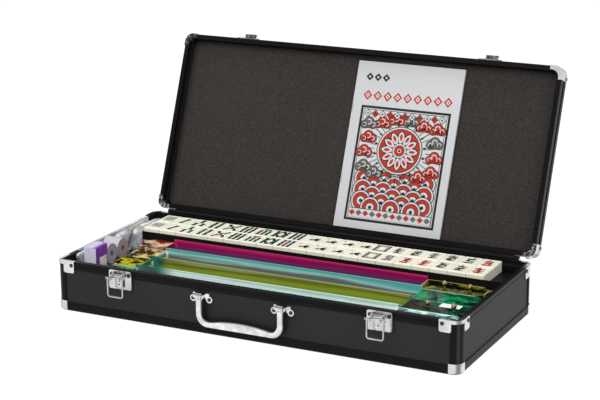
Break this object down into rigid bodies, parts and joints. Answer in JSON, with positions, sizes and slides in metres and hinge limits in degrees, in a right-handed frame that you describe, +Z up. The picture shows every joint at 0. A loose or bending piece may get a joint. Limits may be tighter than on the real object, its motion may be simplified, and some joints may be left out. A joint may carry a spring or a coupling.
{
  "type": "mahjong case",
  "caption": "Flat black carrying case, open, with metal corners, two draw latches and a handle; it holds tiles in trays, clear racks, chips and a booklet.",
  "frame": {"origin": "centre of the case's underside", "axes": "+X to the right along the front, +Y to the back where the hinges are, +Z up"},
  "size_m": [0.5114, 0.3524, 0.2798],
  "materials": {
    "black_panel": "embossed covering, satin",
    "black_frame": "black anodised, satin",
    "corner_chrome": "dark polished plating",
    "lining": "thin black felt",
    "rivet_steel": "polished",
    "plated_steel": "bright zinc plating",
    "handle_chrome": "polished casting",
    "speckled_foam": "soft dark foam with light flecks",
    "tray_plastic": "thin black sheet",
    "tile_ivory": "moulded, glossy",
    "rack_magenta": "clear tinted acrylic",
    "rack_teal": "clear tinted acrylic",
    "rack_olive": "clear tinted acrylic",
    "rack_aqua": "clear tinted acrylic",
    "brass": "polished",
    "clear_bag": "thin clear film over small things",
    "purple_card": "printed card",
    "chip_plastic": "moulded, translucent",
    "booklet_paper": "coated paper"
  },
  "bodies": {
    "base": {"base_front_panel": "black_panel", "base_back_panel": "black_panel", "base_left_panel": "black_panel", "base_right_panel": "black_panel", "base_bottom_panel": "black_panel", "base_rim_frame": "black_frame", "base_bottom_edging": "black_frame", "base_corner_posts": "black_frame", "base_foot_corners": "corner_chrome", "base_rim_brackets": "corner_chrome", "base_lining": "lining", "base_rivets": "rivet_steel", "base_hinge_leaves": "black_frame", "pivot_pins": "plated_steel", "latch_plates": "plated_steel", "handle_brackets": "handle_chrome"},
    "lid": {"lid_front_panel": "black_panel", "lid_back_panel": "black_panel", "lid_left_panel": "black_panel", "lid_right_panel": "black_panel", "lid_top_panel": "black_panel", "lid_rim_frame": "black_frame", "lid_top_edging": "black_frame", "lid_corner_posts": "black_frame", "lid_corner_caps": "corner_chrome", "lid_foam_pad": "speckled_foam", "lid_rivets": "rivet_steel", "lid_hinge_leaves": "black_frame", "lid_latch_keepers": "plated_steel"},
    "handle": {"handle": "handle_chrome"},
    "lever_left": {"latch_lever_left": "plated_steel"},
    "bail_left": {"latch_bail_left": "plated_steel"},
    "lever_right": {"latch_lever_right": "plated_steel"},
    "bail_right": {"latch_bail_right": "plated_steel"},
    "tray_1": {"tile_tray_1": "tray_plastic", "tiles_1": "tile_ivory"},
    "tray_2": {"tile_tray_2": "tray_plastic", "tiles_2": "tile_ivory"},
    "tray_3": {"tile_tray_3": "tray_plastic", "tiles_3": "tile_ivory"},
    "tray_4": {"tile_tray_4": "tray_plastic", "tiles_4": "tile_ivory"},
    "rack_1": {"rack_1": "rack_magenta", "rack_brass_1": "brass"},
    "pusher_1": {"pusher_1": "rack_magenta"},
    "rack_2": {"rack_2": "rack_teal", "rack_brass_2": "brass"},
    "pusher_2": {"pusher_2": "rack_teal"},
    "rack_3": {"rack_3": "rack_olive", "rack_brass_3": "brass"},
    "pusher_3": {"pusher_3": "rack_olive"},
    "rack_4": {"rack_4": "rack_aqua", "rack_brass_4": "brass"},
    "pusher_4": {"pusher_4": "rack_aqua"},
    "accessory_bag": {"accessory_bag_lower": "clear_bag", "accessory_bag_upper": "clear_bag"},
    "card_box": {"purple_card_box": "purple_card"},
    "chips": {"chip_rolls": "chip_plastic"},
    "rear_bag": {"accessory_bag_rear": "clear_bag"},
    "booklet": {"booklet": "booklet_paper"}
  },
  "joints": [
    {"name": "lid_hinge", "type": "hinge", "parent": "base", "child": "lid", "pos_m": [0, 0.1177, 0.06215], "axis": [1, 0, 0], "range_deg": [0, 112]},
    {"name": "handle_pivot", "type": "hinge", "parent": "base", "child": "handle", "pos_m": [-0.008, -0.1185, 0.0465], "axis": [-1, 0, 0], "range_deg": [0, 95]},
    {"name": "latch_lever_left_pivot", "type": "hinge", "parent": "base", "child": "lever_left", "pos_m": [-0.166, -0.1177, 0.056], "axis": [1, 0, 0], "range_deg": [-100, 0]},
    {"name": "latch_bail_left_pivot", "type": "hinge", "parent": "lever_left", "child": "bail_left", "pos_m": [-0.166, -0.126, 0.054], "axis": [-1, 0, 0], "range_deg": [0, 203.5]},
    {"name": "latch_lever_right_pivot", "type": "hinge", "parent": "base", "child": "lever_right", "pos_m": [0.161, -0.1177, 0.056], "axis": [1, 0, 0], "range_deg": [-100, 0]},
    {"name": "latch_bail_right_pivot", "type": "hinge", "parent": "lever_right", "child": "bail_right", "pos_m": [0.161, -0.126, 0.054], "axis": [-1, 0, 0], "range_deg": [0, 203.5]},
    {"name": "tray_1_lift", "type": "slide", "parent": "base", "child": "tray_1", "axis": [0, 0, -1], "range_m": [-0.1, 0]},
    {"name": "tray_2_lift", "type": "slide", "parent": "tray_1", "child": "tray_2", "axis": [0, 0, -1], "range_m": [-0.1, 0]},
    {"name": "tray_3_lift", "type": "slide", "parent": "tray_2", "child": "tray_3", "axis": [0, 0, -1], "range_m": [-0.1, 0]},
    {"name": "tray_4_lift", "type": "slide", "parent": "tray_3", "child": "tray_4", "axis": [0, 0, -1], "range_m": [-0.1, 0]},
    {"name": "rack_1_lift", "type": "slide", "parent": "base", "child": "rack_1", "axis": [0, 0, -1], "range_m": [-0.1, 0]},
    {"name": "pusher_1_pivot", "type": "hinge", "parent": "rack_1", "child": "pusher_1", "pos_m": [-0.0105, 0.0064, 0.0398], "axis": [-1, 0, 0], "range_deg": [-85, 0]},
    {"name": "rack_2_lift", "type": "slide", "parent": "base", "child": "rack_2", "axis": [0, 0, -1], "range_m": [-0.1, 0]},
    {"name": "pusher_2_pivot", "type": "hinge", "parent": "rack_2", "child": "pusher_2", "pos_m": [-0.0025, -0.0284, 0.0398], "axis": [-1, 0, 0], "range_deg": [-85, 0]},
    {"name": "rack_3_lift", "type": "slide", "parent": "base", "child": "rack_3", "axis": [0, 0, -1], "range_m": [-0.1, 0]},
    {"name": "pusher_3_pivot", "type": "hinge", "parent": "rack_3", "child": "pusher_3", "pos_m": [-0.0025, -0.0632, 0.0398], "axis": [-1, 0, 0], "range_deg": [-85, 0]},
    {"name": "rack_4_lift", "type": "slide", "parent": "base", "child": "rack_4", "axis": [0, 0, -1], "range_m": [-0.1, 0]},
    {"name": "pusher_4_pivot", "type": "hinge", "parent": "rack_4", "child": "pusher_4", "pos_m": [-0.0025, -0.098, 0.0398], "axis": [-1, 0, 0], "range_deg": [-85, 0]},
    {"name": "accessory_bag_lift", "type": "slide", "parent": "base", "child": "accessory_bag", "axis": [0, 0, -1], "range_m": [-0.1, 0]},
    {"name": "card_box_lift", "type": "slide", "parent": "accessory_bag", "child": "card_box", "axis": [0, 0, -1], "range_m": [-0.1, 0]},
    {"name": "chips_lift", "type": "slide", "parent": "accessory_bag", "child": "chips", "axis": [0, 0, -1], "range_m": [-0.1, 0]},
    {"name": "rear_bag_lift", "type": "slide", "parent": "base", "child": "rear_bag", "axis": [0, 0, -1], "range_m": [-0.1, 0]},
    {"name": "booklet_lift", "type": "slide", "parent": "lid", "child": "booklet", "axis": [0, 0.9272, -0.3746], "range_m": [-0.03, 0]}
  ]
}
